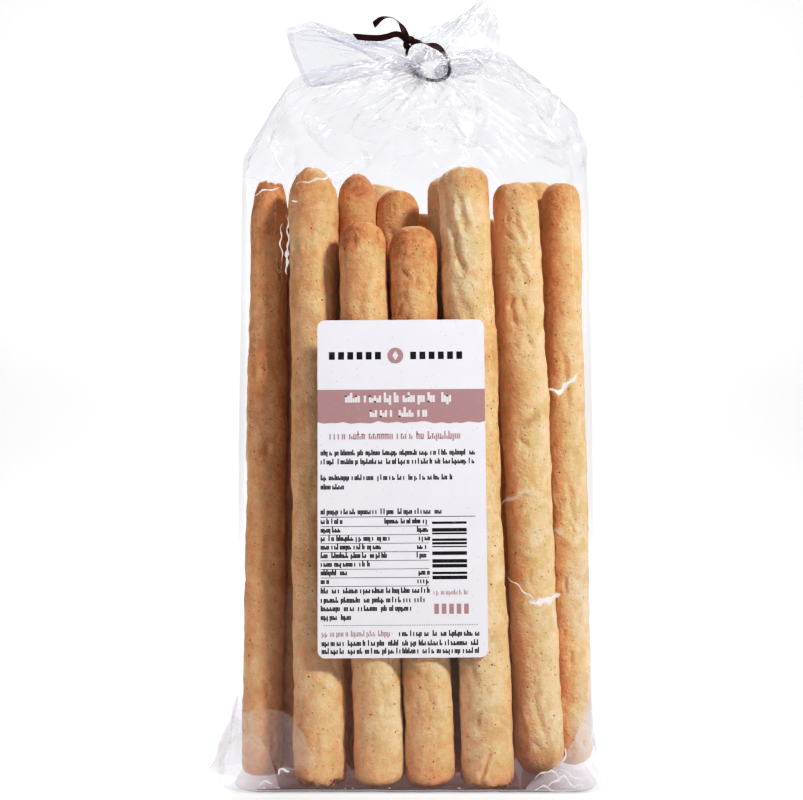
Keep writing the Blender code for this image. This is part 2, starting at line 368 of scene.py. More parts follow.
def creases_of(name):
    """A rod's own creases, and the random ones and dimples that every rod has."""
    creases = list(CREASES.get(name, []))
    for _ in range(OWN_CREASES):
        height = rng.uniform(20, 190)
        at = rng.uniform(-180, 180)
        run = rng.uniform(10, 26)
        low = (height - run, at + rng.uniform(-30, 30))
        creases.append(((height, at), low, rng.uniform(0.3, 0.6), rng.uniform(0.8, 1.6)))
    for _ in range(OWN_DIMPLES):
        height, at, run = rng.uniform(4, 208), rng.uniform(-180, 180), rng.uniform(1.5, 6.0)
        low = (height - run, at + rng.uniform(-24, 34))
        creases.append(((height, at), low, rng.uniform(0.2, 0.75), rng.uniform(0.55, 1.1)))
    return creases


def press_creases(lumps, creases, height, turn, radius, seed):
    """Cuts slantwise creases, each a valley with a raised lip, into the lumps, and gives painted shade for
    their valleys and painted light for their lips.
    """
    groove = np.zeros(lumps.shape)
    for (high_z, high_turn), (low_z, low_turn), depth, wide in creases:
        share = (height - low_z) / (high_z - low_z)
        middle = np.radians(low_turn + (high_turn - low_turn) * share)
        waver = np.stack([height / 7, height * 0 + depth * 9, height * 0], axis=-1)
        middle = middle + 0.16 * ripple(waver + seed, 1.0)
        off = (turn - middle + math.pi) % (2 * math.pi) - math.pi
        off = off * radius / MM / wide
        inside = smooth_step(share, -0.08, 0.2) * smooth_step(share, 1.08, 0.8)
        lumps -= depth * inside * np.exp(-(off**2))
        lumps += 0.45 * depth * inside * np.exp(-((off - 1.9) ** 2))
        groove += inside * depth * (np.exp(-(off**2)) - 0.7 * np.exp(-(((off - 1.9) / 1.2) ** 2)))
    return groove


def breadstick(name, foot, top, radius, low_end, high_end, tone, finish, number):
    """One rod from foot to top, with its bends, lumps, creases and ends."""
    foot = np.array([foot[0] * MM, FRONT + foot[1] * MM, BAG_LOW.z + foot[2] * MM])
    top = np.array([top[0] * MM, FRONT + top[1] * MM, BAG_LOW.z + top[2] * MM])
    radius *= MM
    length = np.linalg.norm(top - foot)
    axis = (top - foot) / length
    front = unit(np.array([0.0, -1.0, 0.0]) + axis * axis[1])
    right = np.cross(axis, front)
    seed = np.array([0.37, 0.11, 0.23]) * (number + 1)

    low_rings = end_rings(low_end, radius)
    high_rings = end_rings(high_end, radius)
    start, stop = low_rings[-1][0], length - high_rings[-1][0]
    body = np.linspace(start, stop, int((stop - start) / RING_STEP))[1:-1]
    rings = low_rings + [(s, 1.0, 0.0) for s in body]
    rings += [(length - s, width, bare) for s, width, bare in reversed(high_rings)]
    along = np.array([r[0] for r in rings])[:, None]
    width = np.array([r[1] for r in rings])[:, None]
    bare = np.array([r[2] for r in rings])[:, None]
    turn = np.linspace(0, 2 * math.pi, AROUND, endpoint=False)[None, :]

    # The rod's middle line wanders slowly, and its girth is a little oval and swells and thins.
    wander = np.stack([along * 0 + 1, along / (75 * MM), along * 0], axis=-1) + seed * 9
    sway = (ripple(wander, 1.0) * 0.75 * MM)[..., None] * right
    sway = sway + (ripple(wander + 40, 1.0) * 0.45 * MM)[..., None] * front
    oval = 1 + 0.025 * np.cos(2 * (turn + along / (60 * MM)) + number)
    out = np.cos(turn)[..., None] * front + np.sin(turn)[..., None] * right
    points = foot + along[..., None] * axis + sway + (radius * width * oval)[..., None] * out

    # Lumps of several sizes stand out along the surface, which faces along the axis at the ends.
    local = points + seed
    half_low = smooth_step(along, 0.9 * radius, 0.0)
    half_high = smooth_step(length - along, 0.9 * radius, 0.0)
    endways = (half_high - half_low)[..., None] * axis * (1 - width)[..., None]
    facing = unit(out * np.maximum(width, 0.2)[..., None] + endways)
    nothing = 0 * turn + 0 * along
    twisted = np.stack([turn * radius * 1.6 + along * 0.12, along * 0.22 + 0 * turn, nothing], axis=-1)
    lumps = 0.55 * ripple(local, 26 * MM) + 0.45 * ripple(local, 12 * MM) + 0.30 * ripple(local, 5.5 * MM)
    lumps += 0.16 * ripple(local, 2.6 * MM) + 0.07 * ripple(local, 1.4 * MM)
    wrinkled = smooth_step(ripple(local, 30 * MM), -0.1, 0.5)
    lumps -= 0.9 * (np.maximum(0, ripple(twisted + seed, 2.4 * MM) - 0.25) * wrinkled)

    height = (points[..., 2] - BAG_LOW.z) / MM
    groove = press_creases(lumps, creases_of(name), height, turn, radius, seed)
    rough = low_end["rough"] * smooth_step(along, 0.5 * radius, 0)
    rough = rough + high_end["rough"] * smooth_step(length - along, 0.5 * radius, 0)
    torn = ripple(local, 3.2 * MM) + 0.5 * ripple(local, 1.3 * MM)
    direction = np.where(along > length / 2, -1.0, 1.0)
    points = points + (lumps * MM)[..., None] * facing
    points = points + (np.maximum(torn + 0.2, -0.3) * rough * radius * direction)[..., None] * axis
    points = points + (bare * 0.25 * MM * ripple(local, 0.8 * MM))[..., None] * axis
    points[..., 2] = np.maximum(points[..., 2], BAG_LOW.z + 0.45 * MM)

    low_tone, high_tone, left_painted_shade = tone
    # Partly painted light: paler feet, and a left side painted darker for the shade that neighbours cast.
    browned_and_shade = low_tone + (high_tone - low_tone) * smooth_step(along / length, 0.25, 0.95)
    browned_and_shade = browned_and_shade - left_painted_shade * np.sin(turn)
    browned_and_shade = browned_and_shade + 0.16 * ripple(local, 26 * MM) + 0.07 * ripple(local, 8 * MM)
    end_near = np.minimum(along, length - along)
    browned_and_shade += 0.20 * smooth_step(end_near, 16 * MM, 2 * MM) * np.where(bare > 0, 0, 1)
    fields = {"baked": browned_and_shade, "groove": groove, "crumb": bare + 0 * turn}
    tips = [points[0].mean(0), points[-1].mean(0)]
    last = len(rings) * AROUND
    faces = ring_faces(len(rings), AROUND)
    for i in range(AROUND):
        beside = (i + 1) % AROUND
        faces.append([last, beside, i])
        faces.append([last + 1, last - AROUND + i, last - AROUND + beside])
    for key, value in fields.items():
        fields[key] = np.append(value.ravel(), [value[0].mean(), value[-1].mean()])
    made = mesh_object(name, np.vstack([points.reshape(-1, 3), tips]), faces, finish, fields)
    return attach(made, "root")


crust = crust_finish()
for number, (name, rod) in enumerate(RODS.items()):
    breadstick(name, *rod, crust, number)


# ------------------------------------------------
# Film bag. One tube of clear crisp film with a folded block bottom. It stands taut around the rods, is
# gathered and tied above them, and its open mouth fans out behind the tie. A net of points with the film's
# own lengths between them is pinned at the base and the neck, and settles around the rods until it fits.
# ------------------------------------------------

# Millimetres along the film from the floor: its pinned folded foot, the stretch that the rods may press on,
# where it starts to draw in, the tie and how far that reaches each way, and the mouth's edge.
PINNED_FOOT = 14
BY_THE_RODS = (10, 245)
GATHER_FROM = 198.0
NECK_ALONG = 296.57
NECK_REACH = 3.4
FILM_LENGTH = 346.0

# Millimetres across it: its girth, half its width and depth, its round corners and the pleated neck.
GIRTH = 338.0
HALF_ACROSS, HALF_DEEP, CORNER = 61.5, 25.0, 9.0
FRONT_FACE = -20
NECK_MIDDLE = np.array([5.7, 4.9, 260.2])
NECK_RADIUS = 4.9
PLEATS = 26
PLEAT_DEPTH = 2.3
PLEATED = 0.10
LEAN = math.radians(50)
NECK_AXIS = np.array([0, math.sin(LEAN), math.cos(LEAN)])
NECK_BACK = np.array([0, math.cos(LEAN), -math.sin(LEAN)])

# The bag's shoulders: the share of its width and depth that is left, and the share of the rise to the neck.
LEFT_SHOULDER = [(1, 0), (1.0, 0.31), (0.89, 0.51), (0.77, 0.74), (0.66, 0.82), (0.3, 0.95), (0, 1)]
RIGHT_SHOULDER = [(1, 0), (0.985, 0.36), (0.925, 0.56), (0.74, 0.74), (0.50, 0.93), (0.34, 1.0), (0, 1)]
FRONT_SHOULDER = [
    (1, 0), (0.985, 0.16), (0.94, 0.32), (0.85, 0.50), (0.70, 0.68), (0.48, 0.84), (0.22, 0.94), (0, 1),
]

# The mouth's edge behind the tie, as (across, up) from the low left round the top to the low right.
MOUTH = np.array([
    (-35, 256.8), (-41.7, 256), (-47.5, 269.5), (-49.8, 277.8), (-40, 281), (-30, 275.4), (-20, 273.3),
    (-3, 274), (7, 279.1), (18.5, 284), (27.7, 290.2), (33.2, 284), (34.3, 275.5), (31.4, 268.3), (24, 262.3),
    (15, 259.3),
])

# Sharp folds across the slack front of the shoulders: both ends as (across, up), how proud and how wide.
RIDGES = [
    ((-11, 226), (8, 226.5), 2.6, 4.0), ((8, 226.5), (18, 222), 2.2, 3.5),
    ((15, 243), (30, 233), 3.0, 4.5), ((30, 233), (49, 221), 2.4, 4.0),
    ((50, 241), (47.5, 227), 1.6, 3.0), ((40, 232), (50, 225), 1.8, 3.0),
    ((-38, 242), (-18, 241), 1.6, 3.0), ((-24, 253), (-14, 248), 1.6, 2.6),
    ((10, 259), (32, 249), 2.0, 3.0), ((-53, 225), (-59, 208), 1.6, 3.0),
    ((-53, 225), (-46, 210), 1.6, 3.0), ((-42, 206), (-14, 217), 1.0, 2.4),
    ((-20, 236), (-6, 214), 1.6, 4.0), ((-3, 240), (14, 236), -1.8, 5.0),
    ((-34, 232), (-26, 224), -1.6, 5.0),
]

# Ears that the block bottom's folds leave at the sides: side, reach at the floor, height, place in depth.
EARS = [(-1, 14.0, 31.0, 8.0), (1, 4.0, 24.0, -9.0)]

# Dents where the film is drawn in between two rods: across, lowest and highest, depth and width.
DENTS = [
    (-45.4, 168, 224, 3.2, 1.7),
    (27.5, 150, 214, 1.2, 2.2),
    (-24.5, 196, 216, 1.5, 4.0),
    (50.0, 60, 180, 1.6, 2.6),
]


def in_bag(spots):
    """Millimetres from the middle of the bag's floor, as places in the frame."""
    return np.asarray(spots) * MM + np.array([0, FRONT + HALF_DEEP * MM, BAG_LOW.z])


def run_along(way):
    """How far along this line each of its points is."""
    return np.concatenate([[0], np.cumsum(np.linalg.norm(np.diff(way, axis=0), axis=1))])


def body_outline(share):
    """Where the film runs round the rods at this share of its girth, from the front middle to the right."""
    flat, deep, arc = HALF_ACROSS - CORNER, HALF_DEEP - CORNER, CORNER * math.pi / 2
    lengths = [flat, arc, 2 * deep, arc, 2 * flat, arc, 2 * deep, arc, flat]
    starts = np.concatenate([[0], np.cumsum(lengths)])
    at = (share % 1.0) * starts[-1]
    spots = [(0, -HALF_DEEP)]
    for side, turn in ((1, -90), (1, 0), (-1, 90), (-1, 180)):
        middle = (flat * side, deep * (-1 if turn in (-90, 180) else 1))
        for step in range(13):
            angle = math.radians(turn + step * 7.5)
            spots.append((middle[0] + CORNER * math.cos(angle), middle[1] + CORNER * math.sin(angle)))
    spots = np.array([*spots, (0, -HALF_DEEP)])
    run = run_along(spots)
    at = at * run[-1] / starts[-1]
    return np.stack([np.interp(at, run, spots[:, 0]), np.interp(at, run, spots[:, 1])], axis=-1)


def neck_outline(share, depth):
    """The gathered neck, whose pleats go this deep."""
    turn = 2 * math.pi * share
    wave = np.sin(turn * PLEATS + 1.3 * np.sin(3 * turn + 1) + 0.9 * np.sin(7 * turn))
    radius = NECK_RADIUS + depth * wave * (0.8 + 0.2 * np.sin(5 * turn + 2)) + 0.5 * np.sin(2 * turn)
    across = (radius * np.sin(turn))[:, None] * np.array([1.0, 0, 0])
    return NECK_MIDDLE + across - (radius * np.cos(turn))[:, None] * NECK_BACK


def mouth_outline(share):
    """The mouth's edge: the front layer runs from the left to the right, and the back layer returns."""
    run = run_along(MOUTH)
    way = (share + 0.25) % 1.0
    front = way <= 0.5
    at = np.where(front, way * 2, 2 - way * 2)
    bulge = np.sin(math.pi * at)
    deep = 15.0 + np.where(front, -2.6, 2.6) * bulge**0.5
    deep = deep + 1.5 * np.sin(at * 23 + np.where(front, 0, 2)) * bulge
    across, up = (np.interp(at * run[-1], run, MOUTH[:, k]) for k in (0, 1))
    return np.stack([across, deep, up], axis=-1)


def on_shoulder(way, rise):
    """The place on one shoulder's outline this share of the way up to the neck."""
    way = np.array(way, dtype=float)
    run = run_along(way)
    return np.array([np.interp(rise * run[-1], run, way[:, k]) for k in (0, 1)])


def film_draft(around, rows):
    """The film before it settles, the lengths that it keeps, and how far up along it each row is."""
    share = np.arange(around) / around
    along = np.linspace(0, FILM_LENGTH, rows)
    ring = body_outline(share)
    aside = smooth_step(np.abs(ring[:, 0]) / HALF_ACROSS, 0.25, 0.98)
    outward = unit(np.stack([ring[:, 0], ring[:, 1], ring[:, 0] * 0], axis=-1))
    mouth = mouth_outline(share)
    net = np.zeros((rows, around, 3))
    for row, height in enumerate(along):
        foot = np.column_stack([ring, np.full(around, min(height, GATHER_FROM))])
        rise = np.clip((height - GATHER_FROM) / (NECK_ALONG - GATHER_FROM), 0, 1)
        fan = np.clip((height - NECK_ALONG) / (FILM_LENGTH - NECK_ALONG), 0, 1)
        neck = neck_outline(share, PLEAT_DEPTH * (1 - fan) ** 2)
        side = np.where(ring[:, :1] > 0, on_shoulder(RIGHT_SHOULDER, rise), on_shoulder(LEFT_SHOULDER, rise))
        front = on_shoulder(FRONT_SHOULDER, rise)
        keep, up = (front + (side - front) * aside[:, None]).T
        keep = keep[:, None]
        net[row] = foot * keep + neck * (1 - keep)
        net[row, :, 2] = foot[:, 2] * (1 - up) + neck[:, 2] * up
        net[row] += outward * (3.0 * math.sin(math.pi * rise) * (1 - aside))[:, None]
        if fan > 0:
            net[row] = (1 - fan) * neck + fan * mouth
    for side, reach, high, deep in EARS:
        off = net[..., 1] - deep
        near = np.clip(1 - np.where(off < 0, -off / (HALF_DEEP + deep), off / 9.0), 0, 1)
        near = near * (net[..., 0] * side > 50)
        net[..., 0] += side * reach * near * np.clip(1 - along / high, 0, 1)[:, None] ** 1.15
    for across, low, high, depth, wide in DENTS:
        front = net[..., 1] < -18
        reach = smooth_step(net[..., 2], low, low + 18) * smooth_step(net[..., 2], high, high - 14)
        net[..., 1] += front * depth * reach * np.exp(-(((net[..., 0] - across) / wide) ** 2))
    real = np.linalg.norm(np.roll(net, -1, axis=1) - net, axis=-1)
    free = smooth_step(along, 20, 60)[:, None]
    flat = GIRTH / around
    level = real * (1 - free) + np.clip(real * (1 + PLEATED), 0.3 * flat, flat) * free
    step = along[1]
    upright = np.full((rows - 1, around), step)
    fanned = along[:-1] >= NECK_ALONG - 0.01
    spread = np.linalg.norm(net[1:] - net[:-1], axis=-1)
    slack = (along[:-1] > GATHER_FROM) & ~fanned
    loose = (1.06 - 0.06 * aside) * np.ones((rows - 1, 1))
    upright[slack] = np.clip(spread * loose, 0.5 * step, step * 1.1)[slack]
    upright[fanned] = np.maximum(spread[fanned] * 1.08, 0.55 * step)
    return net, level, upright, share, along


def pull(first, second, first_free, second_free, length, give, squeeze):
    """Moves pairs of points to this length apart: give when too long, squeeze when too short."""
    between = second - first
    real = np.sqrt((between * between).sum(-1)) + 1e-9
    part = (real - length) / real
    part = np.where(part > 0, give, squeeze) * part / (first_free + second_free + 1e-9)
    between *= part[..., None]
    first += between * first_free[..., None]
    second -= between * second_free[..., None]


def keep_out(net, rods_mm, gap=0.35):
    """Moves points that are inside a rod out to its crust."""
    for foot, top, radius in rods_mm:
        way = top - foot
        share = np.clip(((net - foot) @ way) / (way @ way), 0, 1)
        nearest = foot + share[..., None] * way
        off = net - nearest
        far = np.linalg.norm(off, axis=-1)
        inside = far < radius + gap
        net[inside] = nearest[inside] + off[inside] / far[inside][:, None] * (radius + gap)


def settle(net, free, level, upright, draft, draw, rounds, stiff, rods_mm, low, high):
    """Lets the net find its shape; every pass restores lengths along, up and across its squares."""
    rows = len(net)
    across = np.sqrt(level[:-1] ** 2 + upright**2)
    before = net.copy()
    for number in range(rounds):
        speed = (net - before) * 0.92
        before = net.copy()
        net += speed * free[..., None]
        pull(net[:, 0::2], net[:, 1::2], free[:, 0::2], free[:, 1::2], level[:, 0::2], 1.0, 0.6)
        for moved in (net, free, level):
            moved[:] = np.roll(moved, -1, axis=1)
        pull(net[:, 0::2], net[:, 1::2], free[:, 0::2], free[:, 1::2], level[:, 0::2], 1.0, 0.6)
        for moved in (net, free, level):
            moved[:] = np.roll(moved, 1, axis=1)
        for start in (0, 1):
            stop = start + 2 * ((rows - start) // 2)
            one, two = slice(start, stop, 2), slice(start + 1, stop, 2)
            pull(net[one], net[two], free[one], free[two], upright[one], 1.0, 0.9)
            for side in (1, -1):
                turned, turned_free = np.roll(net[two], -side, axis=1), np.roll(free[two], -side, axis=1)
                pull(net[one], turned, free[one], turned_free, across[one], 0.5, 0.25)
                net[two] = np.roll(turned, side, axis=1)
        bend = (np.roll(net, 1, axis=1) + np.roll(net, -1, axis=1)) / 2 - net
        bend = bend / 2 - (np.roll(bend, 1, axis=1) + np.roll(bend, -1, axis=1)) / 4
        net += bend * (stiff * free)[..., None]
        bend = ((net[:-2] + net[2:]) / 2 - net[1:-1]) * (stiff * free)[1:-1][..., None]
        net[1:-1] += bend / 2
        net[:-2] -= bend / 4 * (free[:-2] > 0)[..., None]
        net[2:] -= bend / 4 * (free[2:] > 0)[..., None]
        net += (draft - net) * (draw * free)[..., None]
        if number % 3 == 0:
            keep_out(net[low:high], rods_mm)
    return net


def finer(net):
    """The same film with twice as many points each way."""
    wide = np.zeros((len(net), net.shape[1] * 2, 3))
    wide[:, 0::2] = net
    before, after, last = (np.roll(net, -step, axis=1) for step in (-1, 1, 2))
    wide[:, 1::2] = (9 * (net + after) - before - last) / 16
    tall = np.zeros((len(net) * 2 - 1, wide.shape[1], 3))
    tall[0::2] = wide
    middle = (wide[:-1] + wide[1:]) / 2
    middle[1:-1] = (9 * (wide[1:-2] + wide[2:-1]) - wide[:-3] - wide[3:]) / 16
    tall[1::2] = middle
    return tall


# The net starts coarse and stiff and is refined twice: points around, rows, rounds, stiffness and shake.
NETS = [(80, 71, 240, 0.25, 0.4), (160, 141, 140, 0.10, 0.12), (320, 281, 110, 0.03, 0.04)]


def film_net():
    """The settled film in millimetres, and how far up along it each row is."""
    rods_mm = []
    for foot, top, radius, *_ in RODS.values():
        foot, top = (np.array([spot[0], spot[1] - HALF_DEEP, spot[2]]) for spot in (foot, top))
        lean = (top - foot) / np.linalg.norm(top - foot)
        rods_mm.append((foot + lean * radius, top - lean * radius * 0.75, radius))
    net = None
    for around, rows, rounds, stiff, shake in NETS:
        draft, level, upright, share, along = film_draft(around, rows)
        net = draft.copy() if net is None else finer(net)
        loose = smooth_step(along, 30, GATHER_FROM + 20)[:, None, None]
        net += rng.normal(size=net.shape) * shake * loose
        pleats = neck_outline(share, PLEAT_DEPTH) - neck_outline(share, 0.0)
        below = np.clip(1 - np.abs(along - NECK_ALONG) / 34, 0, 1) * 1.5
        if around > 80:
            net += pleats * below[:, None, None]
        free = np.ones((rows, around))
        free[along < PINNED_FOOT] = 0
        ring = body_outline(share)
        labelled = (np.abs(ring[:, 0] - LABEL_ACROSS) < LABEL_STUCK) & (ring[:, 1] < FRONT_FACE)
        free[np.ix_((along > LABEL_FOOT - 1) & (along < LABEL_TOP + 1), labelled)] = 0
        net[free == 0] = draft[free == 0]
        tied = np.abs(along - NECK_ALONG) < NECK_REACH
        for row in np.flatnonzero(tied):
            net[row] = neck_outline(share, PLEAT_DEPTH) + NECK_AXIS * (along[row] - NECK_ALONG)
        free[tied] = 0
        draw = np.repeat((0.03 - 0.018 * smooth_step(along, 150, 215))[:, None], around, axis=1)
        draw += 0.05 * smooth_step(along, 200, 225)[:, None] * smooth_step(np.abs(ring[:, 0]), 30, 60)
        draw[-1], draw[-2] = 0.3, 0.1
        near_neck = np.exp(-(((along - NECK_ALONG) / 24) ** 2))[:, None] * np.ones(around)
        bending = stiff * (1 - 0.9 * near_neck)
        span = [int(end / along[1]) for end in BY_THE_RODS]
        net = settle(net, free, level, upright, draft, draw, rounds, bending, rods_mm, *span)
    return net, along, rods_mm


# Folds that handling pressed into the film: straight sharp ridges that fade out at their ends, with painted
# highlights along some crests and painted light and shade to either side.
def pressed_folds(net, along, count, low, high, longest, tallest):
    """How far each point stands out, how bright its painted highlight along the crest is, and the painted
    light and shade beside the folds.
    """
    girth = np.linspace(0, GIRTH, net.shape[1], endpoint=False)
    place = np.stack(np.meshgrid(girth, along), axis=-1)
    proud, white, shade = (np.zeros(net.shape[:2]) for _ in range(3))
    for _ in range(count):
        middle = np.array([rng.uniform(0, GIRTH), rng.uniform(low, high)])
        angle = rng.uniform(0, math.pi)
        long, wide = rng.uniform(0.3, 1.0) * longest, rng.uniform(2.5, 8.0)
        off = place - middle
        off[..., 0] = (off[..., 0] + GIRTH / 2) % GIRTH - GIRTH / 2
        run = off[..., 0] * math.cos(angle) + off[..., 1] * math.sin(angle)
        aside = -off[..., 0] * math.sin(angle) + off[..., 1] * math.cos(angle)
        aside = aside + 0.006 * run**2 * rng.uniform(-1, 1)
        fade = np.clip(1 - np.abs(run) / long, 0, 1) ** 0.7
        proud += np.clip(1 - np.abs(aside) / wide, 0, 1) * fade * wide * tallest * rng.uniform(-1, 1)
        white += np.clip(1.4 - np.abs(aside) / 1.1, 0, 1) * fade * rng.choice([0.0, 0.0, 0.5, 1.0])
        shade += np.tanh(aside / 0.8) * np.exp(-np.abs(aside) / wide / 1.4) * fade * rng.uniform(0.3, 1.0)
    return proud, white, shade


def front_ridges(net):
    """The same for the few long folds across the front, whose places are given."""
    proud = np.zeros(net.shape[:2])
    for (left, low), (right, high), tall, wide in RIDGES:
        way = np.array([right - left, high - low])
        off = net[..., [0, 2]] - (left, low)
        share = np.clip((off @ way) / (way @ way), 0, 1)
        aside = np.linalg.norm(off - share[..., None] * way, axis=-1)
        fade = (0.2 + 0.8 * np.sin(math.pi * share)) * smooth_step(net[..., 1], 3, -3)
        proud += tall * np.clip(1 - aside / wide, 0, 1) * fade
    return proud


def outward_of(net):
    across = np.roll(net, -1, axis=1) - np.roll(net, 1, axis=1)
    up = np.gradient(net, axis=0)
    return unit(np.cross(across, up) + 1e-12)


def film_finish():
    film = Finish("clear_film")
    place = film.place()
    layers = film.field("layers")
    crinkle = film.grain(place, 5 * MM, 3.0)
    normal = film.bump(0.10, 0.3 * MM, crinkle)
    rim = film.node("ShaderNodeFresnel", {}, {"IOR": 1.5, "Normal": normal})
    density = film.field("veil")
    thin = film.clear(0.99, 0.99, 0.993)
    milky = film.clear(0.883, 0.888, 0.922)
    clear = film.blend(density, thin, milky)
    haze = film.node("ShaderNodeBsdfDiffuse", {}, {"Color": (0.88, 0.88, 0.93, 1)})
    veil = film.blend(layers, clear, haze)
    values = {"Color": (1, 1, 1, 1), "Roughness": 0.07, "Normal": normal}
    gloss = film.node("ShaderNodeBsdfGlossy", {}, values)
    sheen = film.node("ShaderNodeMath", {"operation": "MAXIMUM"}, {0: (rim - 0.04) * 0.9 + 0.022, 1: 0.022})
    sheen = film.node("ShaderNodeMath", {"operation": "MINIMUM"}, {0: sheen, 1: 0.09})
    return film.surface(film.blend(sheen, veil, gloss))


# The label holds the film flat: how far to each side of its middle, and how far up and down.
LABEL_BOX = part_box("label")
LABEL_ACROSS = (LABEL_BOX[0].x + LABEL_BOX[1].x) / 2 / MM
LABEL_FOOT, LABEL_TOP = LABEL_BOX[0].z / MM, LABEL_BOX[1].z / MM
LABEL_STUCK = 29.5
LABEL_FLAT = (31, 60)
LABEL_UP = 101.5
film = film_finish()
net, along, rods_mm = film_net()
flat_under_label = (net[..., 1] < FRONT_FACE) & (np.abs(net[..., 0] - LABEL_ACROSS) < LABEL_FLAT[0])
flat_under_label &= np.abs(net[..., 2] - LABEL_UP) < LABEL_FLAT[1]
body_free = smooth_step(along, 8, 30)[:, None] * np.where(flat_under_label, 0, 1)
proud, white, shade = (np.zeros(net.shape[:2]) for _ in range(3))
shoulders = smooth_step(along, 195, 225)[:, None] + 0 * net[..., 0]
low_sides = smooth_step(along, 34, 22)[:, None] * smooth_step(np.abs(net[..., 0]), 50, 57)
crumpled = np.maximum(smooth_step(along, 195, 215)[:, None], low_sides)

# Groups of folds: how many, between which heights along the film, their length and height, and where.
for count, low, high, longest, tallest, where in (
    (150, 205, 342, 28, 0.20, shoulders),
    (240, 205, 330, 10, 0.14, shoulders),
    (60, 15, 215, 40, 0.05, body_free),
    (90, 2, 34, 12, 0.32, low_sides),
):
    stands, crest_highlight, shaded = pressed_folds(net, along, count, low, high, longest, tallest)
    proud += stands * where
    white += crest_highlight * where * crumpled
    shade += shaded * where
proud += front_ridges(net)
net = net + outward_of(net) * proud[..., None]
net[..., 2] = np.maximum(net[..., 2], 0.15)
for _ in range(3):
    keep_out(net[: int(BY_THE_RODS[1] / along[1])], rods_mm, 0.3)
white = np.clip(white, 0, 1)

# How much white haze the film has where it is doubled, gathered or creased, with painted highlights along the
# whitest crests, and how much it dims what is behind it, with painted light and shade on either side of the
# folds.
layers = 0.004 + 0.016 * smooth_step(along, 200, 235)[:, None] + 0 * net[..., 0]
layers += 0.02 * smooth_step(along, 40, 6)[:, None] + 0.10 * low_sides
layers += 0.16 * np.exp(-(((along - NECK_ALONG + 4) / 7) ** 2))[:, None]
layers += 0.35 * white
layers[-2:] += 0.35
veil = 0.21 + 0.39 * smooth_step(along, 195, 220)[:, None] + 0 * net[..., 0]
# Painted light and shade: the film is made clearer on one side of each fold and milkier on the other.
veil += 0.20 * shade * crumpled + 0.8 * low_sides * smooth_step(np.abs(net[..., 0]), 57, 62)
veil *= 1 - 0.9 * np.exp(-(((along - NECK_ALONG) / 22) ** 2))[:, None]
veil *= 1 - 0.8 * white
rows, around = net.shape[:2]
points = in_bag(net.reshape(-1, 3))
fields = {"layers": layers.ravel(), "veil": veil.ravel()}
bag = mesh_object("film_bag", points, ring_faces(rows, around), film, fields)
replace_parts(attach(bag, "root"), "bag")


# Painted highlights along the sharpest creases in the film and on a few folded spots that catch the light:
# thin strips that lie on the film's front, glow a little, and taper off at both ends.
def highlight_strip_finish():
    wear_and_glint = Finish("crease_highlight_film")
    strength = wear_and_glint.field("layers")
    # Painted highlight: a white strip that glows a little though it is no lamp.
    clear = wear_and_glint.clear(1, 1, 1)
    values = {"Base Color": (0.97, 0.97, 0.98, 1), "Roughness": 0.4}
    values |= {"Emission Color": (1, 1, 1, 1), "Emission Strength": 0.12}
    lit = wear_and_glint.node("ShaderNodeBsdfPrincipled", {}, values)
    glowing = wear_and_glint.node("ShaderNodeBsdfTranslucent", {}, {"Color": (0.97, 0.97, 0.98, 1)})
    white = wear_and_glint.blend(0.3, lit, glowing)
    return wear_and_glint.surface(wear_and_glint.blend(strength, clear, white))


def laid_on_front(spots):
    """Each (across, up) spot moved onto the film's front, a little outside it."""
    columns = np.r_[0 : around // 4, around * 3 // 4 : around]
    front = net[along > 1][:, columns].reshape(-1, 3)
    facing = outward_of(net)[along > 1][:, columns].reshape(-1, 3)
    placed = []
    for spot in spots:
        far = np.linalg.norm(front[:, [0, 2]] - spot, axis=1)
        near = np.argsort(far)[:5]
        weight = 1 / (far[near] + 0.2)
        weight /= weight.sum()
        deep = (front[near, 1] * weight).sum()
        out = unit((facing[near] * weight[:, None]).sum(0))
        placed.append(np.array([spot[0], deep, spot[1]]) + out * 0.25)
    return np.array(placed)
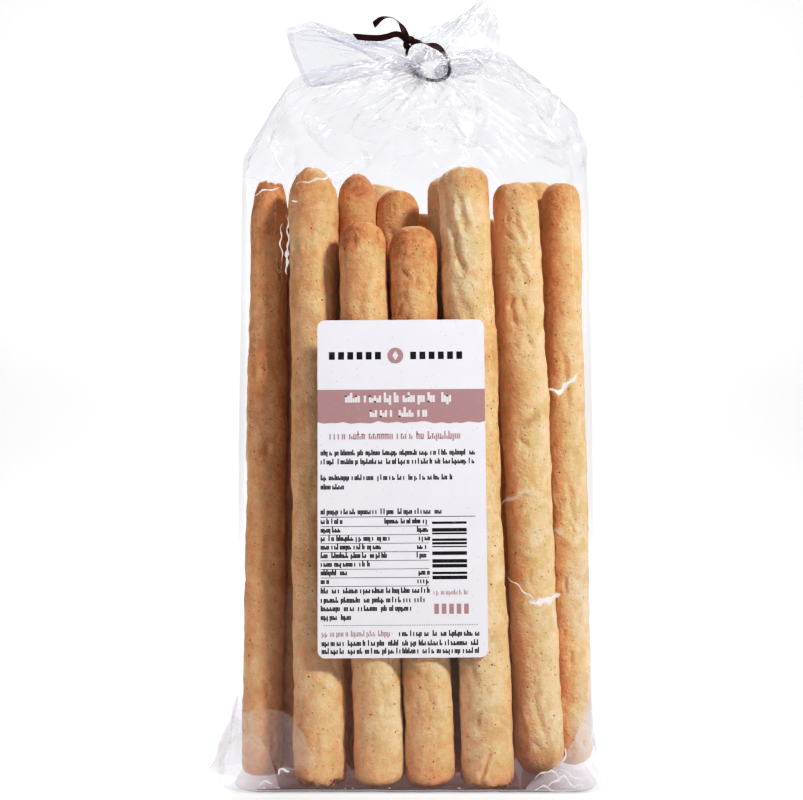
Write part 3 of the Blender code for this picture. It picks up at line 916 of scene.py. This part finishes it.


# Each: the line that it follows as (across, up), half its width, and how bright its painted highlight is.
CREASE_LINES = [
    ([(-11, 226), (-1, 225.5), (8, 227), (18, 222)], 0.6, 0.7),
    ([(15, 243), (21, 239.5), (30, 233)], 0.9, 1.0),
    ([(30, 233), (44, 223.5), (49, 221)], 0.7, 0.9),
    ([(44, 228), (46.5, 224.5), (49.5, 222)], 1.0, 1.0),
    ([(50, 241), (50.5, 236), (47.5, 227)], 0.5, 0.8),
    ([(10, 259), (25, 253.5), (32, 249)], 0.6, 0.9),
    ([(-38, 242), (-30, 243), (-18, 241)], 0.5, 0.7),
    ([(-24, 253), (-20, 250.5), (-14, 248)], 0.6, 0.9),
    ([(-53, 225), (-60, 209)], 0.6, 0.9),
    ([(-53, 225), (-46, 210)], 0.5, 0.8),
    ([(-60, 209), (-53, 207.5), (-46, 210)], 0.4, 0.6),
    ([(-42, 206), (-32, 208), (-14, 217)], 0.6, 0.8),
    ([(-36, 214), (-30, 210), (-27, 203)], 0.5, 0.7),
    ([(20, 250), (27, 246), (33, 247)], 0.4, 0.8),
    ([(-6, 244), (-3, 236), (-6, 229)], 0.4, 0.6),
    ([(36, 246), (44, 236)], 0.5, 0.7),
    ([(-44, 236), (-38, 231), (-30, 229)], 0.4, 0.6),
    ([(-44.5, 196), (-44, 185), (-44.5, 180), (-44, 176.5)], 0.5, 1.0),
    ([(-44.5, 186), (-44.5, 174)], 0.7, 1.0),
    ([(-46.5, 193), (-47, 186.5), (-46, 178.5)], 0.25, 0.8),
    ([(-56.5, 202), (-53.5, 203.5), (-47, 205)], 0.35, 0.9),
    ([(-43, 201), (-41, 199.5), (-40.5, 200.5)], 0.5, 0.9),
    ([(45, 135), (48.5, 133.5), (51, 135.5), (56, 140.5)], 1.3, 1.0),
    ([(30.5, 71.5), (42, 61.5)], 0.3, 0.8),
    ([(37.5, 63.5), (41, 62.5), (49, 65.5)], 1.7, 1.0),
    ([(28, 95.5), (41.5, 102)], 1.2, 0.22),
    ([(38, 86), (48.5, 86.5), (53.5, 83)], 1.8, 0.12),
    ([(38.5, 5), (44.5, 8), (49.5, 3.5)], 0.5, 0.8),
    ([(43, 2), (48.5, 6), (53.5, 1.5)], 0.6, 0.9),
    ([(47, 8.5), (55.5, 4), (57, 6)], 0.5, 0.9),
    ([(50, 15.5), (48.5, 9)], 0.5, 0.9),
    ([(38.5, 1.5), (42.5, 2.5), (46.5, 1)], 0.4, 0.7),
    ([(51.5, 2.5), (54.5, 3), (55.5, 1.5)], 0.5, 0.8),
    ([(-46, 6), (-45, 8), (-41.5, 7.5)], 0.6, 1.0),
    ([(-53, 2.5), (-50, 4), (-47, 3.5)], 0.5, 0.8),
]
points, faces, strength = [], [], []
for way, half, white in CREASE_LINES:
    way = np.array(way, dtype=float)
    run = run_along(way)
    steps = int(run[-1] / 0.8) + 2
    at = np.linspace(0, run[-1], steps)
    line = np.column_stack([np.interp(at, run, way[:, k]) for k in (0, 1)])
    ahead = unit(np.gradient(line, axis=0))
    aside = np.column_stack([-ahead[:, 1], ahead[:, 0]])
    line += aside * (0.35 * np.sin(at * 1.1 + half * 9))[:, None]
    width = half * np.sin(np.linspace(0, math.pi, steps)) ** 0.6 * (0.8 + 0.3 * np.sin(at * 1.9)) + 0.05
    tapered = np.sin(np.linspace(0, math.pi, steps)) ** 0.4
    first = len(points)
    for offset in (-1, -0.4, 0.4, 1):
        points += list(laid_on_front(line + aside * (offset * width)[:, None]))
        strength += list(np.full(steps, 0.0 if abs(offset) == 1 else white) * tapered)
    faces += [[first + corner for corner in face] for face in ring_faces(4, steps, closed=False)]
points = in_bag(points)
made = mesh_object("film_crease_highlights", points, faces, highlight_strip_finish(), {"layers": np.array(strength)})
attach(made, "root")


# The folded block bottom: several layers of the same film, folded under and glued flat, with an edge that
# turns up where it meets the walls. It is tinted dark brown under the rods and paler towards its ends:
# painted shade for the dark floor among the rods' feet.
def base_finish():
    base = Finish("folded_film_base")
    place = base.place()
    across = base.node("ShaderNodeSeparateXYZ", {}, {0: place}, output="X")
    outer = base.node("ShaderNodeMath", {"operation": "ABSOLUTE"}, {0: across})
    # Painted shade: the bottom is tinted dark brown under the rods and paler beyond them towards its ends.
    unshaded_share = base.rise(outer, 0.040, 0.062) + (base.grain(place, 9 * MM, 3.0) - 0.5) * 0.5
    painted_shade_tint = base.clear(0.24, 0.13, 0.12)
    outer_tint = base.clear(0.80, 0.74, 0.80)
    clear = base.blend(unshaded_share, painted_shade_tint, outer_tint)
    gloss = base.node("ShaderNodeBsdfGlossy", {}, {"Color": (1, 1, 1, 1), "Roughness": 0.12})
    rim = base.node("ShaderNodeFresnel", {}, {"IOR": 1.5})
    return base.surface(base.blend(rim * 0.3, clear, gloss))


BASE_AROUND = 240
outline = body_outline(np.arange(BASE_AROUND) / BASE_AROUND)
sheet = [outline * size for size in (1.0, 0.985, 0.9, 0.75, 0.6, 0.45, 0.3, 0.15)]
heights = [1.7, 0.5, 0.35, 0.3, 0.3, 0.3, 0.3, 0.3]
sheet = [np.column_stack([ring, np.full(BASE_AROUND, up)]) for ring, up in zip(sheet, heights)]
points = np.concatenate(sheet)
points[:, 2] += 0.18 * ripple(points, 9.0) + 0.08 * ripple(points, 3.0)
faces = ring_faces(len(sheet), BASE_AROUND) + [list(range(len(points) - BASE_AROUND, len(points)))]
points = in_bag(points * (1, 0.995, 1))
made = mesh_object("film_base", points, faces, base_finish())
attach(made, "root")

# Where a second layer of film lies against the front: corners of the folded bottom and soft folds at the
# right. Each has its haze and its outline as (across, up).
FLAPS = {
    "film_flap_left": (0.10, [
        (-58, 26.5), (-51, 28), (-45, 27), (-41, 25), (-35.5, 15),
        (-32.5, 9.5), (-39, 8), (-45, 7), (-50, 14), (-58, 21.5),
    ]),
    "film_flap_left_low": (0.16, [(-59.5, 20), (-52, 19), (-47.5, 10), (-45.5, 2), (-59.5, 1.5)]),
    "film_flap_right": (0.24, [
        (36, 1.5), (38, 4), (44, 7.5), (49, 12), (53, 19), (57, 26), (60.5, 28), (60.5, 2), (48, 0.8),
    ]),
    "film_fold_right": (0.06, [(50, 75), (54, 78), (60.8, 76), (60.8, 56), (57.5, 51.5), (54, 50), (49, 58)]),
    "film_fold_right_low": (0.05, [(52.5, 38), (55, 41), (60.8, 42), (60.8, 20), (57.5, 22), (54.5, 30)]),
}
for name, (haze, outline) in FLAPS.items():
    outline = np.array(outline, dtype=float)
    middle = outline.mean(0)
    spots = np.concatenate([middle + (outline - middle) * size for size in (1.0, 0.8, 0.6, 0.4, 0.2)])
    deep = -25.45 + 0.22 * ripple(np.column_stack([spots, spots[:, 0] * 0 + 5]), 7.0)
    points = np.column_stack([spots[:, 0], deep, spots[:, 1]])
    count = len(outline)
    faces = ring_faces(5, count) + [list(range(4 * count, 5 * count))]
    points = in_bag(points)
    fields = {"layers": np.full(len(points), haze), "veil": np.full(len(points), 0.05)}
    made = mesh_object(name, points, faces, film, fields)
    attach(made, "root")


# ------------------------------------------------
# Crumbs. A few flakes of crust, up to about a millimetre across, that broke off the rods' ends in handling
# and lie loose on the bag's floor along its front.
# ------------------------------------------------

CRUMBS = 26
points, faces = [], []
for _ in range(CRUMBS):
    middle = np.array([rng.uniform(-56, 54), rng.uniform(-24.0, -20.5), 0.0])
    size = rng.uniform(0.25, 0.75)
    first = len(points)
    knob = unit(rng.normal(size=(14, 3))) * size * rng.uniform(0.7, 1.0, size=(14, 1))
    knob[:, 2] = np.abs(knob[:, 2]) * 0.7
    hull = bmesh.new()
    for spot in knob:
        hull.verts.new(spot + middle + (0, 0, 0.7))
    bmesh.ops.convex_hull(hull, input=hull.verts)
    hull.verts.ensure_lookup_table()
    hull.verts.index_update()
    points += [tuple(v.co) for v in hull.verts]
    faces += [[first + v.index for v in face.verts] for face in hull.faces]
    hull.free()
points = in_bag(points)
fields = {"baked": np.full(len(points), 0.2), "crumb": np.full(len(points), 0.6)}
crumbs = mesh_object("crumbs", points, faces, crust, fields)
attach(crumbs, "root")


# ------------------------------------------------
# Label. Matte uncoated paper with a soft coloured band and fine print, die cut with round corners
# and stuck to the front of the bag.
# ------------------------------------------------

LABEL_LOW, LABEL_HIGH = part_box("label")
LABEL_TURN = math.radians(0.4)
LABEL_MIDDLE = (LABEL_LOW + LABEL_HIGH) / 2
PRINT_LIFT = 0.02 * MM
INK_BLACK = colour(22, 19, 26)
INK_MAUVE = colour(177, 144, 145)


def paper_finish():
    paper = Finish("label_paper")
    place = paper.place()
    cloud = paper.grain(place, 12 * MM, 3.0)
    tone = paper.mix(cloud, colour(240, 236, 243), colour(247, 244, 250))
    flecks = paper.spots(place, 1.7 * MM, 0.13, 0.45)
    tone = paper.mix(flecks * 0.6, tone, colour(150, 128, 140))
    normal = paper.bump(0.2, 0.05 * MM, paper.grain(place, 0.25 * MM))
    values = {"Base Color": tone, "Roughness": 0.62, "Normal": normal, "Specular IOR Level": 0.3}
    return paper.solid(values)


def ink_finish(name, tint):
    ink = Finish(name)
    place = ink.place()
    wear_and_glint = ink.grain(place, 1.2 * MM, 4.0)
    tone = ink.mix(ink.rise(wear_and_glint, 0.55, 0.8) * 0.15, tint, colour(205, 196, 204))
    values = {"Base Color": tone, "Roughness": 0.6, "Specular IOR Level": 0.3}
    return ink.solid(values)


class Print:
    """Flat shapes of one ink, laid on the label; across and up are millimetres from its middle."""

    def __init__(self, layer):
        self.points = []
        self.faces = []
        self.lift = PRINT_LIFT * layer

    def shape(self, outline):
        first = len(self.points)
        turn = Matrix.Rotation(-LABEL_TURN, 3, "Y")
        for across, up in outline:
            flat = turn @ Vector((across * MM, 0, up * MM))
            self.points.append(LABEL_MIDDLE + flat + Vector((0, LABEL_LOW.y - LABEL_MIDDLE.y - self.lift, 0)))
        self.faces.append(list(range(first, len(self.points))))

    def bar(self, left, low, right, high):
        self.shape([(left, low), (right, low), (right, high), (left, high)])

    def words(self, left, right, base, height, stroke, letters=(2, 9)):
        """A line of small upright strokes in word-long groups."""
        pitch = height * 0.74
        at = left
        while at < right - pitch:
            for _ in range(rng.integers(*letters)):
                if at > right - stroke:
                    break
                tall = rng.choice([1.0, 1.0, 1.0, 1.45])
                drop = rng.choice([0.0, 0.0, 0.0, 0.0, -0.35]) if tall == 1.0 else 0.0
                self.bar(at, base + drop * height, at + stroke, base + tall * height)
                second = rng.random()
                beside = at + pitch * 0.5
                if second < 0.7:
                    self.bar(beside, base, beside + stroke, base + height * rng.choice([1.0, 0.6]))
                if second < 0.5:
                    low, high = (0.8, 1.0) if second < 0.3 else (0.0, 0.2)
                    self.bar(at, base + height * low, beside, base + height * high)
                at += pitch
            at += pitch * 0.75

    def lay(self, name, finish):
        made = mesh_object(name, self.points, self.faces, finish)
        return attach(made, "root")


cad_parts["label"].material_slots[0].material = paper_finish()
BAND_TOP = 33.1
BAND_FOOT = 21.7
LABEL_HALF = 28.5
SEAL_ACROSS, SEAL_UP, SEAL_RADIUS = -1.9, 44.7, 2.75
mauve = Print(1)
edge = np.linspace(LABEL_HALF, -LABEL_HALF, 90)
wave = BAND_FOOT + 0.9 * ripple(np.stack([edge / 11, edge * 0, edge * 0 + 3], axis=-1), 1.0)
wave += 0.6 * ripple(np.stack([edge / 3.1, edge * 0, edge * 0 + 7], axis=-1), 1.0)
for (left, low), (right, high) in itertools.pairwise(zip(edge[::-1], wave[::-1])):
    mauve.shape([(left, BAND_TOP), (left, low), (right, high), (right, BAND_TOP)])
mauve.words(-24.5, 22.5, 16.1, 1.9, 0.5)
mauve.words(10.4, 23.1, -36.2, 1.2, 0.3)
for step in range(5):
    mauve.bar(10.6 + 2.5 * step, -42.6, 12.2 + 2.5 * step, -39.2)
mauve.words(-27.2, -3.4, -49.9, 1.4, 0.34)
turns = np.linspace(0, 2 * math.pi, 40)[:-1]
seal = [(SEAL_ACROSS + SEAL_RADIUS * math.cos(t), SEAL_UP + SEAL_RADIUS * math.sin(t)) for t in turns]
mauve.shape(seal)
mauve.lay("label_print_mauve", ink_finish("mauve_ink", INK_MAUVE))

white = Print(2)
across, up = SEAL_ACROSS, SEAL_UP
white.shape([(across, up + 1.6), (across - 1.0, up), (across, up - 1.6), (across + 1.0, up)])
white.words(-19.1, 16.4, 28.7, 2.3, 0.75, (3, 8))
white.words(-10.7, 8.4, 23.7, 2.3, 0.75, (3, 7))
white.lay("label_print_white", ink_finish("white_ink", colour(238, 232, 236)))

black = Print(1)
for left, count in ((-24.6, 6), (3.2, 6)):
    for place in range(count):
        at = left + place * 3.15
        black.bar(at, 43.4, at + 2.0, 46.0)
for left, right, base in (
    (-27.5, 24.8, 10.7),
    (-27.5, 24.8, 7.7),
    (-27.5, 17.4, 2.3),
    (-27.5, -18.4, -0.8),
    (-27.5, 13.7, -9.2),
    (-27.5, 9.0, -35.6),
    (-27.5, 8.0, -38.7),
    (-27.5, 3.0, -41.5),
    (-27.5, -16.8, -44.4),
    (-1.3, 25.8, -49.9),
    (-27.2, 25.8, -53.0),
    (-27.2, 25.8, -55.6),
):
    black.words(left, right, base, 1.35, 0.42)
black.bar(-27.5, -10.2, 24.8, -9.95)
table = [(7.4, 15), (7.0, 4), (23.5, 3.4), (20.8, 4), (22.1, 4.2), (16.8, 0), (10.0, 3.6), (3.0, 4)]
for row, (wide, value) in enumerate(table):
    up = -12.4 - 2.86 * row
    black.words(-27.5, -27.5 + wide, up, 1.3, 0.42)
    if value:
        black.words(9.0 - value, 9.0, up, 1.3, 0.42)
    black.bar(-27.5, up - 0.95, 9.05, up - 0.75)
stripe = -11.8
while stripe > -31.4:
    thick = rng.choice([0.4, 0.6, 0.8, 1.2])
    black.bar(10.1, stripe - thick, 21.8, stripe)
    stripe -= thick + rng.choice([0.3, 0.4, 0.5, 1.4])
for dot in np.arange(-26.5, 25.1, 0.8):
    black.bar(dot, -46.35, dot + 0.4, -46.1)
black.lay("label_print_black", ink_finish("black_ink", INK_BLACK))


# ------------------------------------------------
# Ribbon. Narrow dark satin, wrapped once round the gathered neck and knotted at its front left; one tail
# runs out flat to the left and the other curls up and over it. Both are cut off slantwise.
# ------------------------------------------------

RIBBON_THICK = 0.35
NECK_FRONT = 20.2

# Points along each strand: across, behind the neck's front, up, width, and how far it is turned edge on.
LONG_TAIL = [
    (-1.9, 3.4, 266.2, 1.5, 50), (-3.4, 3.0, 267.6, 1.9, 30), (-5.2, 2.7, 269.2, 2.2, 15),
    (-7.4, 2.5, 269.5, 2.3, 5), (-10.2, 2.5, 268.6, 2.4, 0), (-13.6, 2.7, 268.1, 2.5, -4),
    (-17.7, 3.0, 268.4, 2.5, -8), (-22.3, 3.2, 268.9, 2.5, -12),
]
CURLED_TAIL = [
    (-1.9, 3.3, 266.3, 1.8, 20), (-2.9, 2.9, 268.2, 2.4, 5), (-3.7, 2.8, 270.2, 2.4, -5),
    (-4.5, 2.7, 272.0, 2.4, -30), (-5.9, 2.6, 274.1, 2.4, -62), (-8.1, 2.4, 275.7, 2.4, -66),
    (-10.6, 2.3, 276.0, 2.4, -52), (-12.7, 2.4, 275.3, 2.4, -30), (-14.1, 2.6, 274.2, 2.4, -14),
    (-15.3, 2.8, 273.1, 2.4, -6),
]
RING = [
    (-1.7, 3.2, 266.4, 2.2, 0), (0.0, 3.2, 267.0, 2.3, 12), (1.7, 3.4, 267.0, 2.3, 40),
    (3.5, 3.5, 266.5, 2.3, 66), (5.7, 3.7, 266.0, 2.4, 38), (8.2, 4.1, 265.4, 2.5, 8),
    (10.2, 4.9, 264.1, 2.5, 24), (11.8, 6.2, 262.4, 2.4, 46), (13.0, 8.0, 260.2, 2.4, 58),
    (13.2, 9.8, 258.2, 2.4, 66), (12.2, 11.8, 256.8, 2.4, 80), (9.4, 13.6, 256.2, 2.4, 84),
    (5.6, 14.2, 256.6, 2.4, 84), (1.8, 13.4, 257.8, 2.4, 84), (-1.0, 11.6, 259.6, 2.4, 82),
    (-2.4, 9.2, 261.6, 2.4, 80), (-2.9, 6.8, 263.4, 2.4, 74), (-2.7, 4.8, 264.8, 2.3, 50),
    (-2.1, 3.4, 265.9, 2.2, 10),
]
KNOT = [
    (-3.0, 4.3, 264.9, 1.8, 0), (-3.3, 2.9, 265.6, 2.0, 0), (-2.9, 1.9, 266.6, 2.2, 0),
    (-2.0, 1.7, 267.4, 2.2, 0), (-1.1, 2.6, 267.8, 2.1, 0), (-0.7, 3.9, 267.6, 2.0, 0),
]


def smooth_path(stops, steps=9):
    """Points on one smooth curve through all the stops."""
    stops = np.array(stops, dtype=float)
    padded = np.vstack([2 * stops[0] - stops[1], stops, 2 * stops[-1] - stops[-2]])
    made = []
    for before, here, there, after in zip(padded, padded[1:], padded[2:], padded[3:]):
        for step in range(steps):
            t = step / steps
            line = 2 * here + (there - before) * t + (2 * before - 5 * here + 4 * there - after) * t * t
            made.append((line + (3 * here - before - 3 * there + after) * t**3) / 2)
    return np.array([*made, stops[-1]])


def ribbon_finish():
    satin = Finish("ribbon_satin")
    place = satin.place()
    fibre = satin.grain(place, 0.35 * MM, 3.0)
    wear_and_glint = satin.grain(place, 2.5 * MM, 2.0)
    tone = satin.mix(satin.rise(wear_and_glint, 0.4, 0.7) * 0.6, colour(38, 9, 8), colour(64, 20, 18))
    normal = satin.bump(0.35, 0.1 * MM, fibre)
    values = {"Base Color": tone, "Roughness": 0.42 + fibre * 0.2, "Normal": normal}
    values |= {"Specular IOR Level": 0.14}
    return satin.solid(values)


def ribbon_strand(name, stops, finish, slant=0.0):
    """A flat strip along the stops, a little cupped, with its last end cut slantwise."""
    path = smooth_path(stops)
    line = path[:, :3] + np.array([0, -HALF_DEEP + NECK_FRONT, 0])
    forward = unit(np.gradient(line, axis=0))
    ahead = np.array([0, -1.0, 0])
    face = unit(ahead - forward * (forward @ ahead)[:, None])
    side = np.cross(forward, face)
    turn = np.radians(path[:, 4])[:, None]
    wide, thick = side * np.cos(turn) + face * np.sin(turn), face * np.cos(turn) - side * np.sin(turn)
    edge = np.array([(-1, 0.0), (-0.96, 1), (-0.5, 0.72), (0, 0.6), (0.5, 0.72), (0.96, 1), (1, 0.0)])
    edge = np.vstack([edge, np.column_stack([edge[-2:0:-1, 0], edge[-2:0:-1, 1] - 1.5])])
    half = path[:, 3][:, None, None] / 2
    ring = line[:, None] + wide[:, None] * edge[None, :, :1] * half
    ring += thick[:, None] * edge[None, :, 1:] * RIBBON_THICK / 2
    cut = np.linspace(0, 1, len(ring))[:, None, None] ** 12 * slant
    ring += forward[:, None] * edge[None, :, :1] * cut
    count = ring.shape[1]
    last = (len(ring) - 1) * count
    faces = ring_faces(len(ring), count) + [list(range(count))[::-1], list(range(last, last + count))]
    points = in_bag(ring.reshape(-1, 3))
    made = mesh_object(name, points, faces, finish)
    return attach(made, "root")


satin = ribbon_finish()
ring = ribbon_strand("ribbon_ring", RING, satin)
ribbon_strand("ribbon_knot", KNOT, satin)
ribbon_strand("ribbon_tail_long", LONG_TAIL, satin, 1.1)
ribbon_strand("ribbon_tail_curled", CURLED_TAIL, satin, -0.5)
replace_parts(ring, "tie")


# ------------------------------------------------
# Studio: a white sweep that runs from the floor up behind the pack, a strong soft light high on the right,
# broad weaker ones in front and on the left, and the camera low in front.
# ------------------------------------------------

CAMERA_GAP = 373 * MM
CAMERA_HEIGHT = 100 * MM
CAMERA_TILT = math.radians(4.75)
CAMERA_LENS = 49.18


def sweep():
    """Paper roll that curves up from the floor into the wall far behind, on a white floor, greyer just in
    front of the pack; it glows behind the pack and far from it, painted light that keeps it bright white.
    """
    near, far, bend, high, half = -0.8, 1.6, 0.6, 2.6, 1.3
    turns = np.linspace(0.1, math.pi / 2, 16)
    profile = [(near, 0.0), (near / 2, 0.0), (0.0, 0.0), (far / 4, 0.0), (far, 0.0)]
    profile += [(far + bend * math.sin(t), bend - bend * math.cos(t)) for t in turns]
    profile += [(far + bend, high)]
    points = [(x, y, z) for y, z in profile for x in (-half, half)]
    faces = [[2 * i, 2 * i + 1, 2 * i + 3, 2 * i + 2] for i in range(len(profile) - 1)]
    white = Finish("studio_white")
    place = white.place()
    back = white.node("ShaderNodeSeparateXYZ", {}, {0: place}, output="Y")
    pale = white.ramp(back, -0.05, 0.35)
    tone = white.mix(pale, colour(205, 205, 207), colour(248, 248, 248))
    tone = white.mix(white.grain(place, 0.2) * 0.04, tone, colour(200, 200, 200))
    # Painted light: the paper glows behind the pack, far from it and high up, but not just in front of it.
    behind = white.ramp(back, -0.07, -0.005, 0.63)
    away = white.node("ShaderNodeVectorMath", {"operation": "LENGTH"}, {0: place}, output="Value")
    distant = white.ramp(away, 0.45, 1.1, 0.45)
    lit = white.node("ShaderNodeMath", {"operation": "MAXIMUM"}, {0: behind, 1: distant})
    up = white.node("ShaderNodeSeparateXYZ", {}, {0: place}, output="Z")
    top = white.ramp(up, 0.2, 1.2, 0.10)
    painted_glow = white.mix(lit + top, (0, 0, 0, 1), (1, 1, 1, 1))
    values = {"Base Color": tone, "Roughness": 0.9, "Specular IOR Level": 0.1}
    values |= {"Emission Color": painted_glow, "Emission Strength": 1.0}
    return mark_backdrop(mesh_object("studio_sweep", points, faces, white.solid(values)))


def softbox(name, turn, rise, distance, size, power):
    """A light that faces the pack from this far round to the right and this high, in degrees."""
    light = bpy.data.lights.new(name, "AREA")
    light.shape = "RECTANGLE"
    light.size, light.size_y = size
    light.energy = power
    lamp = bpy.data.objects.new(name, light)
    bpy.context.scene.collection.objects.link(lamp)
    turn, rise = math.radians(turn), math.radians(rise)
    toward = Vector((math.sin(turn) * math.cos(rise), -math.cos(turn) * math.cos(rise), math.sin(rise)))
    lamp.location = Vector((0, 0, 0.12)) + toward * distance
    lamp.rotation_euler = toward.to_track_quat("Z", "Y").to_euler()
    return lamp


sweep()
softbox("key_light", 47, 36, 0.95, (0.13, 0.13), 8.7)
softbox("left_front_light", -42, 25, 1.0, (0.5, 0.6), 0.7)
softbox("left_light", -80, 15, 1.0, (0.4, 0.6), 1.6)
softbox("strip_light", 30, 22, 1.2, (0.05, 0.5), 0.4)
softbox("top_strip", 0, 62, 1.1, (0.7, 0.06), 0.6)
softbox("floor_light", 180, 52, 1.5, (1.0, 0.7), 14.0)

# The room beyond the paper is pale to look at, and gives the pack hardly any light.
world = bpy.data.worlds.new("studio_air")
world.use_nodes = True
air = world.node_tree
seen = air.nodes.new("ShaderNodeLightPath")
strength = air.nodes.new("ShaderNodeMapRange")
strength.inputs["To Min"].default_value = 0.04
strength.inputs["To Max"].default_value = 0.98
air.links.new(seen.outputs["Is Camera Ray"], strength.inputs["Value"])
air.links.new(strength.outputs["Result"], air.nodes["Background"].inputs["Strength"])
air.nodes["Background"].inputs["Color"].default_value = (0.96, 0.97, 1.0, 1)
scene = bpy.context.scene
scene.world = world
scene.view_settings.view_transform = "Standard"
scene.view_settings.use_curve_mapping = True
contrast = scene.view_settings.curve_mapping.curves[3].points
for darker, lighter in ((0.05, 0.030), (0.22, 0.180), (0.55, 0.585), (0.85, 0.850)):
    contrast.new(darker, lighter)
scene.view_settings.curve_mapping.update()
scene.cycles.transparent_max_bounces = 48

camera_data = bpy.data.cameras.new("camera")
camera_data.lens = CAMERA_LENS
camera_data.sensor_width = 36
camera = bpy.data.objects.new("camera", camera_data)
scene.collection.objects.link(camera)
camera.location = (LABEL_MIDDLE.x - 0.1 * MM, FRONT - CAMERA_GAP, BAG_LOW.z + CAMERA_HEIGHT)
camera.rotation_euler = (math.pi / 2 + CAMERA_TILT, 0, 0)
scene.camera = camera
